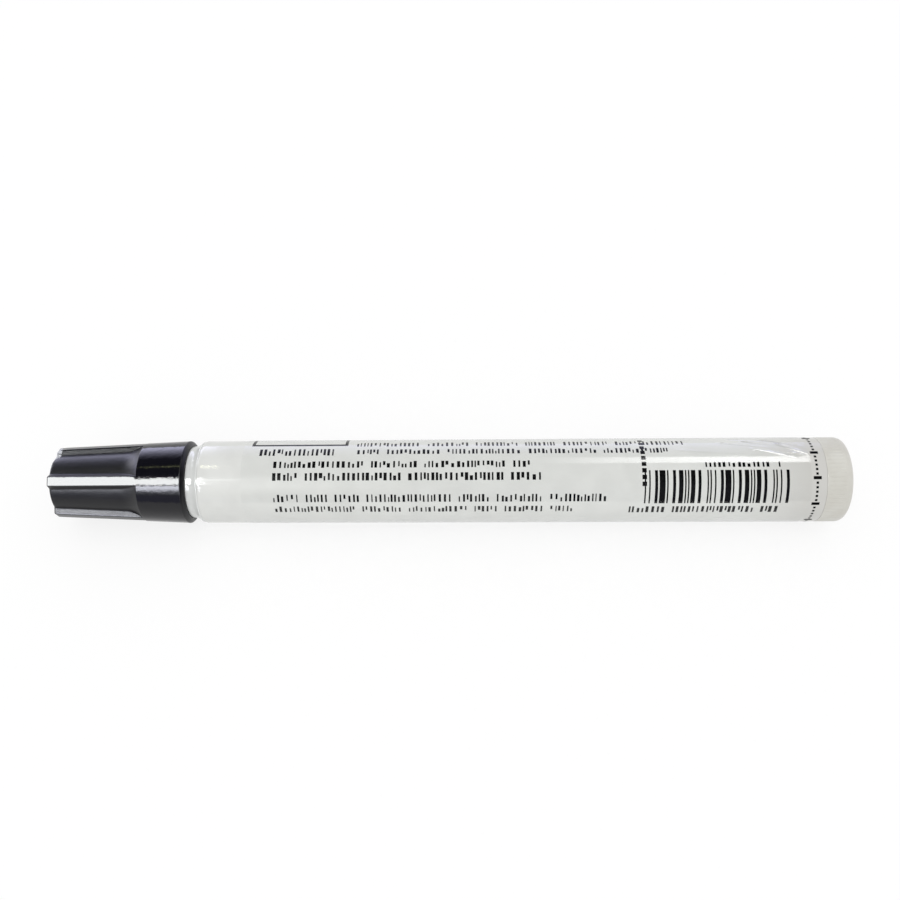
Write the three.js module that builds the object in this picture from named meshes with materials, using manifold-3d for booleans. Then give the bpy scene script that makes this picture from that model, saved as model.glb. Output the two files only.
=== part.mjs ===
// A capped permanent marker lying on its side, built as its separate pieces.
// Millimetres, +Z up. The marker's axis runs along X, with the cap towards -X and the end plug
// towards +X. The origin is on the surface it lies on, half way along it.
//
// Every piece is drawn about its own axis. A distance called "along" is measured on the marker's
// axis from the front edge of the barrel, positive towards the end plug.

import * as THREE from "three";
import { mergeVertices } from "three/addons/utils/BufferGeometryUtils.js";
import Module from "manifold-3d";

const wasm = await Module();
wasm.setup();

// Facets round every turned piece, with a flat one underneath
const facetCount = 60;
const facetAngle = (2 * Math.PI) / facetCount;
const cutMargin = 1; // how far a cutting shape reaches past what it cuts

// Fits
const slidingClearance = 0.05; // radial, between a spigot and its bore
const seamGap = 0.05; // between two flat faces that meet
const inkFitClearance = 0.05; // radial, between the fibre pieces and what holds them

// Barrel
const barrelLength = 110.5;
const barrelFrontRadius = 7.5;
const barrelRearRadius = 7.66;
const barrelWall = 1.2; // at the front, where it is thinnest
const barrelEdgeRadius = 0.35;
const barrelRibCount = 6;
const barrelRibWidth = 0.8;
const barrelRibHeight = 0.48;
const barrelRibRoot = 0.4; // how deep a rib's foot goes into the wall

// Clear wrap round the barrel
const filmThickness = 0.06;
const filmGap = 0.02;
const filmFrontMargin = 7.8; // bare barrel in front of the wrap
const filmRearMargin = 2.8; // bare barrel behind it

// Front section, which holds the nib
const collarLength = 2.35; // flared band that shows between the cap and the barrel
const collarRearInset = 0.08; // how far it lies inside the barrel's outside
const collarFrontStep = 0.1; // how far it stands out of the seat
const collarWaistStep = 0.2; // how far it stands out of the seat where the flare starts
const collarFlareLength = 1.15;
const collarLipLength = 0.25; // straight stretch next to the parting groove
const holderSkirtLength = 8.5; // goes inside the barrel
const holderWall = 1.1;
const seatInset = 1.05; // how far the cap's seat lies inside the barrel's outside
const seatLength = 5.75;
const seatChamfer = 0.6; // at the seat's front edge
const seatBeadHeight = 0.03;
const seatBeadLength = 0.8;
const noseShoulderLength = 1.2;
const noseWall = 1.7;
const noseLength = 4; // straight stretch that the seal cup closes on
const noseConeLength = 3.3;
const noseTipWall = 0.7;
const nibGripLength = 9; // how far the nib is held from the nose's tip backwards

// Nib
const nibRadius = 2;
const nibExposedLength = 4.8;
const nibDomeLength = 2.2;
const nibTailDepth = 5; // how far the tail goes into the reservoir

// Ink reservoir
const wrapThickness = 0.12;

// Seal cup inside the cap
const sealCupWall = 0.7;
const sealCupEndWall = 0.8;
const sealCupLip = 0.25; // lead-in at its mouth
const sealOverlap = 2.4; // how far the cup reaches over the nose's straight stretch
const nibTipRoom = 3.5; // free space in front of the nib

// Cap
const capWall = 1.03; // at the rim
const capEndWall = 1.3;
const capPanelWall = 0.92; // behind the recessed panels, at the closed end
const capEdgeRadius = 0.4; // rounding of the closed end
const capRimChamferLength = 0.5;
const capRimChamferDepth = 0.6;
const capSeatRelief = 2.1; // how far the wide bore goes past the seat
const capStepLength = 1.2; // cone between the two bores
const capPlainMargin = 0.8; // how far the round part goes past the wide bore
const ridgeCount = 5;
const ridgeWidth = 1.64; // along its top
const ridgeDraft = THREE.MathUtils.degToRad(25); // slope of its sides, which widen towards its foot
const ridgeTurn = THREE.MathUtils.degToRad(28); // first ridge, from the top towards the front
const fluteDepth = 0.95;
const fluteRunOut = 3.2; // end of a flute, where its floor rises in an arc

// End plug
const plugHeadLength = 4.75;
const plugEdgeRadius = 1.1;
const plugEdgeSteps = 5; // facets along its rounding
const plugSkirtLength = 9.6;
const plugSkirtWall = 1;
const plugEndWall = 1.2;
const plugBeadCount = 2;
const plugBeadHeight = 0.03;
const plugBeadLength = 0.8;
const ribCount = facetCount; // one rib on each facet
const ribGrooveDepth = 0.14;
const ribGrooveWidth = 0.16; // at its bottom
const grooveFlare = 3; // how many times wider it is well outside the head
const ribFrontMargin = 0.35; // plain band next to the barrel
const ribRearMargin = 0.1; // plain band between the ribs and the rounded end

// Colours and finishes
const finishes = {
  capBlack: { color: 0x17181b, roughness: 0.22, metalness: 0 },
  barrelWhite: { color: 0xdcdcd8, roughness: 0.35, metalness: 0 },
  holderWhite: { color: 0xe0e1de, roughness: 0.35, metalness: 0 },
  plugCream: { color: 0xcbcac0, roughness: 0.45, metalness: 0 },
  linerWhite: { color: 0xe6e6e2, roughness: 0.5, metalness: 0 },
  inkedFelt: { color: 0x0d0d10, roughness: 0.95, metalness: 0 },
  inkedFibre: { color: 0x1c1b20, roughness: 0.95, metalness: 0 },
  sleeveFilm: { color: 0xd2d2d0, roughness: 0.3, metalness: 0 },
  clearFilm: { color: 0xf2f3f2, roughness: 0.08, metalness: 0, transparent: true, opacity: 0.2 },
};

// Turns a profile of [radius, along] points into a solid of revolution
function turned(profile) {
  const points = profile.map(([radius, along]) => new THREE.Vector2(radius, along));
  return new THREE.LatheGeometry(points, facetCount, facetAngle / 2, 2 * Math.PI);
}

// Closes a ring's profile on itself
function ring(profile) {
  return turned([...profile, profile[0]]);
}

// Points of a quarter round from one direction to another, about a centre
function quarterRound(radius, along, size, fromDegrees, toDegrees, steps = 3) {
  const points = [];
  for (let i = 0; i <= steps; i += 1) {
    const angle = THREE.MathUtils.degToRad(fromDegrees + ((toDegrees - fromDegrees) * i) / steps);
    points.push([radius + size * Math.cos(angle), along + size * Math.sin(angle)]);
  }
  return points;
}

function toSolid(geometry) {
  const bare = geometry.index ? geometry.toNonIndexed() : geometry.clone();
  bare.deleteAttribute("normal");
  bare.deleteAttribute("uv");
  const merged = mergeVertices(bare, 1e-5);
  const corners = [];
  const index = merged.index.array;
  for (let i = 0; i < index.length; i += 3) {
    const [a, b, c] = [index[i], index[i + 1], index[i + 2]];
    if (a !== b && b !== c && c !== a) {
      corners.push(a, b, c);
    }
  }
  return new wasm.Manifold(
    new wasm.Mesh({
      numProp: 3,
      vertProperties: new Float32Array(merged.attributes.position.array),
      triVerts: new Uint32Array(corners),
    }),
  );
}

function toGeometry(solid) {
  const mesh = solid.getMesh();
  const geometry = new THREE.BufferGeometry();
  geometry.setAttribute("position", new THREE.BufferAttribute(mesh.vertProperties, mesh.numProp));
  geometry.setIndex(new THREE.BufferAttribute(mesh.triVerts, 1));
  geometry.computeVertexNormals();
  return geometry;
}

// A box that stands on the axis and reaches outwards, such as a rib
function radialBar(width, innerRadius, outerRadius, start, end, turn) {
  const bar = new THREE.BoxGeometry(width, end - start, outerRadius - innerRadius);
  bar.translate(0, (start + end) / 2, (innerRadius + outerRadius) / 2);
  bar.rotateY(turn);
  return bar;
}

// Radius of a straight taper at a distance along it
function taper(startRadius, endRadius, length, distance) {
  return startRadius + ((endRadius - startRadius) * distance) / length;
}

// Radii that several pieces share, from the barrel inwards and from the nib outwards
const boreRadius = barrelFrontRadius - barrelWall;
const barrelRibCrest = boreRadius - barrelRibHeight;
const wrapOuterRadius = barrelRibCrest - inkFitClearance;
const wrapInnerRadius = wrapOuterRadius - wrapThickness;
const coreRadius = wrapInnerRadius - inkFitClearance;
const seatRadius = barrelFrontRadius - seatInset;
const capBoreRadius = seatRadius + slidingClearance;
const capRimRadius = capBoreRadius + capWall;
const nibBoreRadius = nibRadius + inkFitClearance;
const noseRadius = nibBoreRadius + noseWall;
const sealCupInnerRadius = noseRadius + slidingClearance;
const sealCupRadius = sealCupInnerRadius + sealCupWall;
const sealCupBoreRadius = sealCupRadius + slidingClearance;
const panelTipRadius = sealCupBoreRadius + capPanelWall;
const capTipRadius = panelTipRadius + fluteDepth;

// Places along the axis that several pieces share
const capRimEnd = -collarLength;
const seatEnd = capRimEnd - seatLength;
const noseStart = seatEnd - noseShoulderLength;
const noseStraightEnd = noseStart - noseLength;
const noseTip = noseStraightEnd - noseConeLength;
const nibTip = noseTip - nibExposedLength;
const capFloor = nibTip - nibTipRoom - sealCupEndWall - seamGap;
const capTipEnd = capFloor - capEndWall;
const capLength = capRimEnd - capTipEnd;
const wideBoreEnd = seatEnd - capSeatRelief;
const fluteLength = wideBoreEnd - capPlainMargin - capTipEnd;
const coreStart = holderSkirtLength + seamGap;
const plugFront = barrelLength + seamGap;
const plugSkirtStart = plugFront - plugSkirtLength;
const plugEnd = plugFront + plugHeadLength;
const coreEnd = plugSkirtStart - seamGap;

function barrelRadiusAt(along) {
  return taper(barrelFrontRadius, barrelRearRadius, barrelLength, along);
}

// Barrel: a drafted tube with low ribs inside that hold the reservoir in the middle
function makeBarrel() {
  const edge = barrelEdgeRadius;
  const shell = ring([
    [boreRadius, 0],
    ...quarterRound(barrelFrontRadius - edge, edge, edge, -90, 0),
    ...quarterRound(barrelRearRadius - edge, barrelLength - edge, edge, 0, 90),
    [boreRadius, barrelLength],
  ]);
  let solid = toSolid(shell);
  for (let i = 0; i < barrelRibCount; i += 1) {
    const turn = (2 * Math.PI * i) / barrelRibCount;
    const foot = boreRadius + barrelRibRoot;
    const rib = radialBar(barrelRibWidth, barrelRibCrest, foot, coreStart, coreEnd, turn);
    solid = solid.add(toSolid(rib));
  }
  return toGeometry(solid);
}

// Clear wrap: a thin sleeve that follows the barrel's draft
function makeLabelFilm() {
  const start = filmFrontMargin;
  const end = barrelLength - filmRearMargin;
  const innerStart = barrelRadiusAt(start) + filmGap;
  const innerEnd = barrelRadiusAt(end) + filmGap;
  return ring([
    [innerStart, start],
    [innerStart + filmThickness, start],
    [innerEnd + filmThickness, end],
    [innerEnd, end],
  ]);
}

// Front section: skirt in the barrel, flared collar, seat for the cap and nose round the nib
function makeNibHolder() {
  const skirtRadius = boreRadius - slidingClearance;
  const skirtBoreRadius = skirtRadius - holderWall;
  const beadMiddle = (capRimEnd + seatEnd) / 2;
  const beadRadius = seatRadius + seatBeadHeight;
  const collarFrontRadius = seatRadius + collarFrontStep;
  const collarWaistRadius = seatRadius + collarWaistStep;
  const collarRearRadius = barrelFrontRadius - collarRearInset;
  const lipStart = -seamGap - collarLipLength;
  const gripEnd = noseTip + nibGripLength;
  return ring([
    [nibBoreRadius, noseTip],
    [nibBoreRadius + noseTipWall, noseTip],
    [noseRadius, noseStraightEnd],
    [noseRadius, noseStart],
    [seatRadius - seatChamfer, seatEnd],
    [seatRadius, seatEnd + seatChamfer],
    [seatRadius, beadMiddle - seatBeadLength],
    [beadRadius, beadMiddle - seatBeadLength / 2],
    [beadRadius, beadMiddle + seatBeadLength / 2],
    [seatRadius, beadMiddle + seatBeadLength],
    [seatRadius, capRimEnd + seamGap],
    [collarFrontRadius, capRimEnd + seamGap],
    [collarWaistRadius, lipStart - collarFlareLength],
    [collarRearRadius, lipStart],
    [collarRearRadius, -seamGap],
    [skirtRadius, -seamGap],
    [skirtRadius, holderSkirtLength],
    [skirtBoreRadius, holderSkirtLength],
    [skirtBoreRadius, gripEnd + skirtBoreRadius - nibBoreRadius],
    [nibBoreRadius, gripEnd],
  ]);
}

// Nib: a domed fibre rod that reaches back into the reservoir
function makeNib() {
  const tail = coreStart + nibTailDepth;
  const tip = [];
  const domeSteps = 5;
  for (let i = 0; i <= domeSteps; i += 1) {
    const angle = (Math.PI / 2) * (i / domeSteps);
    tip.push([nibRadius * Math.sin(angle), nibTip + nibDomeLength * (1 - Math.cos(angle))]);
  }
  return turned([...tip, [nibRadius, tail], [0, tail]]);
}

// Reservoir: a fibre rod with a pocket where the nib's tail presses in
function makeInkCore() {
  const pocketEnd = coreStart + nibTailDepth + seamGap;
  return turned([
    [0, pocketEnd],
    [nibBoreRadius, pocketEnd],
    [nibBoreRadius, coreStart],
    [coreRadius, coreStart],
    [coreRadius, coreEnd],
    [0, coreEnd],
  ]);
}

// Sleeve round the reservoir's fibres
function makeCoreWrap() {
  return ring([
    [wrapInnerRadius, coreStart],
    [wrapOuterRadius, coreStart],
    [wrapOuterRadius, coreEnd],
    [wrapInnerRadius, coreEnd],
  ]);
}

function capRadiusAt(fromTip) {
  return taper(capTipRadius, capRimRadius, capLength - capRimChamferLength, fromTip);
}

// Cap: a tapered cup whose outside is cut away between its ridges
function makeCapShell() {
  const edge = capEdgeRadius;
  const chamferRadius = capRimRadius - capRimChamferDepth;
  const body = turned([
    [0, capTipEnd],
    ...quarterRound(capRadiusAt(edge) - edge, capTipEnd + edge, edge, -90, 0),
    [capRimRadius, capRimEnd - capRimChamferLength],
    [chamferRadius, capRimEnd],
    [capBoreRadius, capRimEnd],
    [capBoreRadius, wideBoreEnd],
    [sealCupBoreRadius, wideBoreEnd - capStepLength],
    [sealCupBoreRadius, capFloor],
    [0, capFloor],
  ]);
  const solid = toSolid(body).subtract(makeFlutes());
  return toGeometry(solid);
}

// The space that a ridge takes: its top follows the cap's taper and its sides widen inwards
function ridgeWedge(start, end, turn) {
  const wedge = new THREE.BoxGeometry(1, 1, 1);
  const corners = wedge.attributes.position;
  for (let i = 0; i < corners.count; i += 1) {
    const along = corners.getY(i) > 0 ? end : start;
    const top = capRadiusAt(along - capTipEnd);
    const height = corners.getZ(i) > 0 ? top + cutMargin / 2 : 0;
    const half = ridgeWidth / 2 + (top - height) * Math.tan(ridgeDraft);
    corners.setXYZ(i, Math.sign(corners.getX(i)) * half, along, height);
  }
  return wedge.rotateY(turn);
}

// Everything outside the recessed panels, less the ridges that are left standing
function makeFlutes() {
  const outside = capRimRadius + fluteDepth;
  const beyondTip = capTipEnd - cutMargin;
  const runOutStart = fluteLength - fluteRunOut;
  const profile = [
    [panelTipRadius - capEdgeRadius, beyondTip],
    [panelTipRadius - capEdgeRadius, capTipEnd],
    [panelTipRadius, capTipEnd + capEdgeRadius],
  ];
  const arcRadius = (fluteRunOut ** 2 + fluteDepth ** 2) / (2 * fluteDepth);
  const runOutSteps = 4;
  for (let i = 0; i <= runOutSteps; i += 1) {
    const along = (fluteRunOut * i) / runOutSteps;
    const lift = arcRadius - Math.sqrt(arcRadius ** 2 - along ** 2);
    const fromTip = runOutStart + along;
    profile.push([capRadiusAt(fromTip) - fluteDepth + lift, capTipEnd + fromTip]);
  }
  profile.push([outside, capTipEnd + fluteLength]);
  profile.push([outside, beyondTip]);
  let cutter = toSolid(ring(profile.reverse()));
  for (let i = 0; i < ridgeCount; i += 1) {
    const turn = ridgeTurn + (2 * Math.PI * i) / ridgeCount;
    const end = capTipEnd + fluteLength + cutMargin;
    cutter = cutter.subtract(toSolid(ridgeWedge(beyondTip - cutMargin, end, turn)));
  }
  return cutter;
}

// Seal cup: sits in the cap's narrow bore and closes round the nose
function makeCapSealCup() {
  const back = capFloor + seamGap;
  const mouth = noseStraightEnd + sealOverlap;
  return turned([
    [0, back],
    [sealCupRadius, back],
    [sealCupRadius, mouth],
    [sealCupInnerRadius + sealCupLip, mouth],
    [sealCupInnerRadius, mouth - sealCupLip],
    [sealCupInnerRadius, back + sealCupEndWall],
    [0, back + sealCupEndWall],
  ]);
}

// End plug: ribbed head and a hollow skirt with sealing beads, which stops the reservoir
function makeEndPlug() {
  const skirtRadius = boreRadius - slidingClearance;
  const skirtInnerRadius = skirtRadius - plugSkirtWall;
  const edge = plugEdgeRadius;
  const beads = [];
  for (let i = 1; i <= plugBeadCount; i += 1) {
    const middle = plugSkirtStart + (plugSkirtLength * i) / (plugBeadCount + 1);
    beads.push([skirtRadius, middle - plugBeadLength]);
    beads.push([skirtRadius + plugBeadHeight, middle - plugBeadLength / 2]);
    beads.push([skirtRadius + plugBeadHeight, middle + plugBeadLength / 2]);
    beads.push([skirtRadius, middle + plugBeadLength]);
  }
  const body = turned([
    [0, plugEnd - plugEndWall],
    [skirtInnerRadius, plugEnd - plugEndWall],
    [skirtInnerRadius, plugSkirtStart],
    [skirtRadius, plugSkirtStart],
    ...beads,
    [skirtRadius, plugFront],
    [barrelRearRadius, plugFront],
    ...quarterRound(barrelRearRadius - edge, plugEnd - edge, edge, 0, 90, plugEdgeSteps),
    [0, plugEnd],
  ]);
  const solid = toSolid(body).subtract(makeRibGrooves());
  return toGeometry(solid);
}

// A ring with teeth that point inwards, one for each groove between two ribs
function makeRibGrooves() {
  const outside = barrelRearRadius + 2 * ribGrooveDepth;
  const bottom = barrelRearRadius - ribGrooveDepth;
  const halfWidth = ribGrooveWidth / 2;
  const outline = new THREE.Shape();
  outline.absarc(0, 0, outside + cutMargin, 0, 2 * Math.PI);
  const teeth = [];
  for (let i = 0; i < ribCount; i += 1) {
    const middle = (2 * Math.PI * (i + 0.5)) / ribCount;
    const corners = [
      [outside, -grooveFlare * halfWidth],
      [bottom, -halfWidth],
      [bottom, halfWidth],
      [outside, grooveFlare * halfWidth],
    ];
    for (const [radius, across] of corners) {
      const angle = middle + across / radius;
      teeth.push(new THREE.Vector2(radius * Math.cos(angle), radius * Math.sin(angle)));
    }
  }
  outline.holes.push(new THREE.Path(teeth));
  const start = plugFront + ribFrontMargin;
  const end = plugEnd - plugEdgeRadius - ribRearMargin;
  const cutter = new THREE.ExtrudeGeometry(outline, {
    depth: end - start,
    bevelEnabled: false,
    curveSegments: 30,
  });
  cutter.rotateX(-Math.PI / 2);
  cutter.translate(0, start, 0);
  return toSolid(cutter);
}

function piece(name, geometry, finish) {
  const mesh = new THREE.Mesh(geometry, new THREE.MeshStandardMaterial(finish));
  mesh.name = name;
  return mesh;
}

const writingBody = new THREE.Group();
writingBody.add(
  piece("barrel", makeBarrel(), finishes.barrelWhite),
  piece("label_film", makeLabelFilm(), finishes.clearFilm),
  piece("nib_holder", makeNibHolder(), finishes.holderWhite),
  piece("nib", makeNib(), finishes.inkedFelt),
  piece("ink_core", makeInkCore(), finishes.inkedFibre),
  piece("core_wrap", makeCoreWrap(), finishes.sleeveFilm),
);

const cap = new THREE.Group();
cap.add(
  piece("cap_shell", makeCapShell(), finishes.capBlack),
  piece("cap_seal_cup", makeCapSealCup(), finishes.linerWhite),
);

const rearPlug = new THREE.Group();
rearPlug.add(piece("end_plug", makeEndPlug(), finishes.plugCream));

// The wrap is the widest piece, so the marker lies on its lowest facet
const widestRadius = barrelRadiusAt(barrelLength - filmRearMargin) + filmGap + filmThickness;
const lyingHeight = widestRadius * Math.cos(facetAngle / 2);
const middleAlong = (capTipEnd + plugEnd) / 2;

const marker = new THREE.Group();
marker.add(writingBody, cap, rearPlug);
marker.rotation.z = -Math.PI / 2; // the pieces are drawn along Y and lie along X
marker.position.set(-middleAlong, 0, lyingHeight);

export default marker;
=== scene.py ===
import bpy
import numpy as np
from mathutils import Matrix, Vector


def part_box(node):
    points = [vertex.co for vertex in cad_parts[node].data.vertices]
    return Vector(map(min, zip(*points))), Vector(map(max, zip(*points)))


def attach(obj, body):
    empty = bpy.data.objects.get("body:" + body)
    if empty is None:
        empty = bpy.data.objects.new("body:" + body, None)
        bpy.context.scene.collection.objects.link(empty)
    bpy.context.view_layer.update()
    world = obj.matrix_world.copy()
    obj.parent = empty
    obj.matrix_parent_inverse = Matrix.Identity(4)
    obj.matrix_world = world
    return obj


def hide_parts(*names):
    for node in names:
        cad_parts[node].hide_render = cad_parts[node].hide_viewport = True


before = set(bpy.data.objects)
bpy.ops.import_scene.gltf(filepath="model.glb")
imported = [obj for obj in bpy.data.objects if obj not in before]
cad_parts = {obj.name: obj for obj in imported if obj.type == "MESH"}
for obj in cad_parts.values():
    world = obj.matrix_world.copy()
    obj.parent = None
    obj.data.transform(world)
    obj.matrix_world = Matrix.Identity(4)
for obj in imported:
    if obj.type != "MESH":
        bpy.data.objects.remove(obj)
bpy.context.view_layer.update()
print("frame loaded,", len(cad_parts), "nodes")

# Sizes are in millimetres: along the marker's axis (x), and out from it (radius). In the facts of
# each piece, a place along the axis counts from the barrel's front edge, as fromFront turns into x.
# Angles go round the axis in degrees, from the top towards the front; "past" counts from the
# photograph's direction, over the top towards the back.
mm = 0.001
facing = 30.0  # the angle that the photograph looks at
axisHeight = sum(corner.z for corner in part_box("nib")) / 2 / mm

# The solids have 60 facets; a round surface that fits inside the same box is this much smaller
facetFit = np.cos(np.radians(3))


def spanOf(node):
    # Its ends along the axis
    low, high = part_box(node)
    return low.x / mm, high.x / mm


capStart, capEnd = spanOf("cap_shell")
cupStart, cupEnd = spanOf("cap_seal_cup")
holderStart, holderEnd = spanOf("nib_holder")
nibStart, nibEnd = spanOf("nib")
barrelStart, barrelEnd = spanOf("barrel")
filmStart, filmEnd = spanOf("label_film")
coreStart, coreEnd = spanOf("ink_core")
plugStart, plugEnd = spanOf("end_plug")


def fromFront(along):
    return barrelStart + np.asarray(along)


# Camera, where the photograph was taken from

cameraFacts = {
    "distance": 172.2,  # from the marker's axis
    "along": 46.95,
    "aimAlong": 44.6,
    "aimUp": 5.66,  # above the axis, in the picture
    "roll": -0.25,  # degrees; the right end shows a little higher
    "lens": 37.58,
    "sensor": 36.0,
}


def makeCamera(facts):
    # It stands out from the axis in the photograph's direction and looks at a point near the middle
    towards = Vector((0, -np.sin(np.radians(facing)), np.cos(np.radians(facing))))
    upwards = Vector((0, np.cos(np.radians(facing)), np.sin(np.radians(facing))))
    middle = Vector((0, 0, axisHeight))
    place = middle + towards * facts["distance"] + Vector((fromFront(facts["along"]), 0, 0))
    aim = middle + upwards * facts["aimUp"] + Vector((fromFront(facts["aimAlong"]), 0, 0))
    camera = bpy.data.objects.new("camera", bpy.data.cameras.new("camera"))
    bpy.context.scene.collection.objects.link(camera)
    camera.data.lens = facts["lens"]
    camera.data.sensor_width = facts["sensor"]
    camera.data.clip_start = 0.01
    forwards = (aim - place).normalized()
    right = forwards.cross(upwards).normalized()
    turn = Matrix((right, right.cross(forwards), -forwards)).transposed().to_4x4()
    roll = Matrix.Rotation(np.radians(facts["roll"]), 4, "Z")
    camera.matrix_world = Matrix.Translation(place * mm) @ turn @ roll
    bpy.context.scene.camera = camera


makeCamera(cameraFacts)
bpy.context.scene.view_settings.view_transform = "Standard"
print("camera placed")


# Meshes from grids of points


def around(x, radius, degrees):
    # A point x along the axis, radius out from it and degrees round it
    turn = np.radians(degrees)
    spread = np.broadcast_arrays(x, -radius * np.sin(turn), axisHeight + radius * np.cos(turn))
    return np.stack(spread, -1)


def cells(rows, columns, wrapRows=False, wrapColumns=True):
    # Four corners of each cell of a grid; the last row or column joins the first where it wraps
    row, column = np.meshgrid(
        np.arange(rows if wrapRows else rows - 1),
        np.arange(columns if wrapColumns else columns - 1),
        indexing="ij",
    )
    nextRow, nextColumn = (row + 1) % rows, (column + 1) % columns
    corners = (row, column), (row, nextColumn), (nextRow, nextColumn), (nextRow, column)
    return np.stack([r * columns + c for r, c in corners], -1).reshape(-1, 4)


def fan(middle, ring, turned):
    # Triangles from a middle point to each stretch of a ring
    following = np.roll(ring, -1)
    sides = (following, ring) if turned else (ring, following)
    return np.stack([np.full(len(ring), middle), *sides], -1)


def signedVolume(points, faces):
    # Sum over the faces, cut into triangles, of a . (b x c) / 6; it is negative where a body is
    # inside out
    total = 0.0
    for group in faces:
        for k in range(1, group.shape[1] - 1):
            a, b, c = points[group[:, 0]], points[group[:, k]], points[group[:, k + 1]]
            total += np.einsum("ij,ij->", a, np.cross(b, c)) / 6
    return total


def makePiece(name, points, faces, material, attributes=None, crease=32.0):
    # points is (n, 3) in millimetres; faces is a list of index arrays, one for each corner count
    points = points.reshape(-1, 3)
    if signedVolume(points, faces) < 0:
        faces = [group[:, ::-1] for group in faces]
    sizes = np.concatenate([np.full(len(group), group.shape[1]) for group in faces])
    mesh = bpy.data.meshes.new(name)
    mesh.vertices.add(len(points))
    mesh.vertices.foreach_set("co", (points * mm).ravel())
    mesh.loops.add(int(sizes.sum()))
    mesh.loops.foreach_set("vertex_index", np.concatenate([group.ravel() for group in faces]))
    mesh.polygons.add(len(sizes))
    mesh.polygons.foreach_set("loop_start", np.concatenate([[0], np.cumsum(sizes)[:-1]]))
    mesh.update(calc_edges=True)
    for attribute, values in (attributes or {}).items():
        layer = mesh.attributes.new(attribute, "FLOAT", "POINT")
        layer.data.foreach_set("value", np.asarray(values, float).ravel())
    mesh.shade_smooth()
    mesh.set_sharp_from_angle(angle=np.radians(crease))
    mesh.materials.append(material)
    piece = bpy.data.objects.new(name, mesh)
    bpy.context.scene.collection.objects.link(piece)
    print("made", name, len(mesh.polygons), "faces")
    return piece


def dress(piece, node, body):
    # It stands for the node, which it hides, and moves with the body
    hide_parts(node)
    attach(piece, body)


def outline(corners, steps=5):
    # A column of x and one of radius, through (x, radius) corners. A third number rounds a corner:
    # a parabola starts that far before it, ends that far after it and touches both lines.
    places = np.array([corner[:2] for corner in corners], float)
    rounded = [places[:1]]
    share = np.linspace(0, 1, steps + 1)[:, None]
    for k in range(1, len(corners) - 1):
        size = corners[k][2] if len(corners[k]) > 2 else 0
        if size:
            before = places[k - 1] - places[k]
            after = places[k + 1] - places[k]
            start = places[k] + before / np.linalg.norm(before) * size
            end = places[k] + after / np.linalg.norm(after) * size
            bend = (1 - share) ** 2 * start + 2 * share * (1 - share) * places[k] + share**2 * end
            rounded.append(bend)
        else:
            rounded.append(places[k : k + 1])
    rounded.append(places[-1:])
    points = np.concatenate(rounded)
    return points[:, :1], points[:, 1:]


def gridBody(x, radius, degrees):
    # A surface on rings: x and radius vary by row, and may vary by column too. Where the first and
    # last rows lie on the axis they become poles; otherwise the last row joins the first.
    points = around(x, radius, degrees)
    columns = points.shape[1]
    if np.any(radius[0]):
        return points.reshape(-1, 3), [cells(len(points), columns, wrapRows=True)]
    poles = points[[0, -1], 0]
    rings = points[1:-1]
    count = rings.shape[0] * columns
    last = np.arange(count - columns, count)
    faces = [
        cells(len(rings), columns),
        np.concatenate([fan(count, np.arange(columns), True), fan(count + 1, last, False)]),
    ]
    return np.concatenate([rings.reshape(-1, 3), poles]), faces


def evenAngles(columns):
    # One row of angles
    return (np.arange(columns) * 360.0 / columns)[None, :]


def offNearest(angles, count):
    # How far each angle is from the nearest of count even places round the axis
    period = 360 / count
    return np.abs((angles + period / 2) % period - period / 2)


def beadCorners(middle, length, radius, height):
    # A low bead in a profile: level over its length, with a slope of half of that at either end
    return [
        (middle - length, radius),
        (middle - length / 2, radius + height),
        (middle + length / 2, radius + height),
        (middle + length, radius),
    ]


# Materials from expressions


class Wire:
    # A node's output; + - * and / on it add the Math nodes
    def __init__(self, maker, socket):
        self.maker = maker
        self.socket = socket

    def math(self, operation, *values):
        sockets = dict(enumerate(values))
        return self.maker.add("Math", {"operation": operation}, sockets)

    def __add__(self, other):
        return self.math("ADD", self, other)

    def __sub__(self, other):
        return self.math("SUBTRACT", self, other)

    def __rsub__(self, other):
        return self.math("SUBTRACT", other, self)

    def __mul__(self, other):
        return self.math("MULTIPLY", self, other)

    def __truediv__(self, other):
        return self.math("DIVIDE", self, other)

    __radd__ = __add__
    __rmul__ = __mul__


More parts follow.
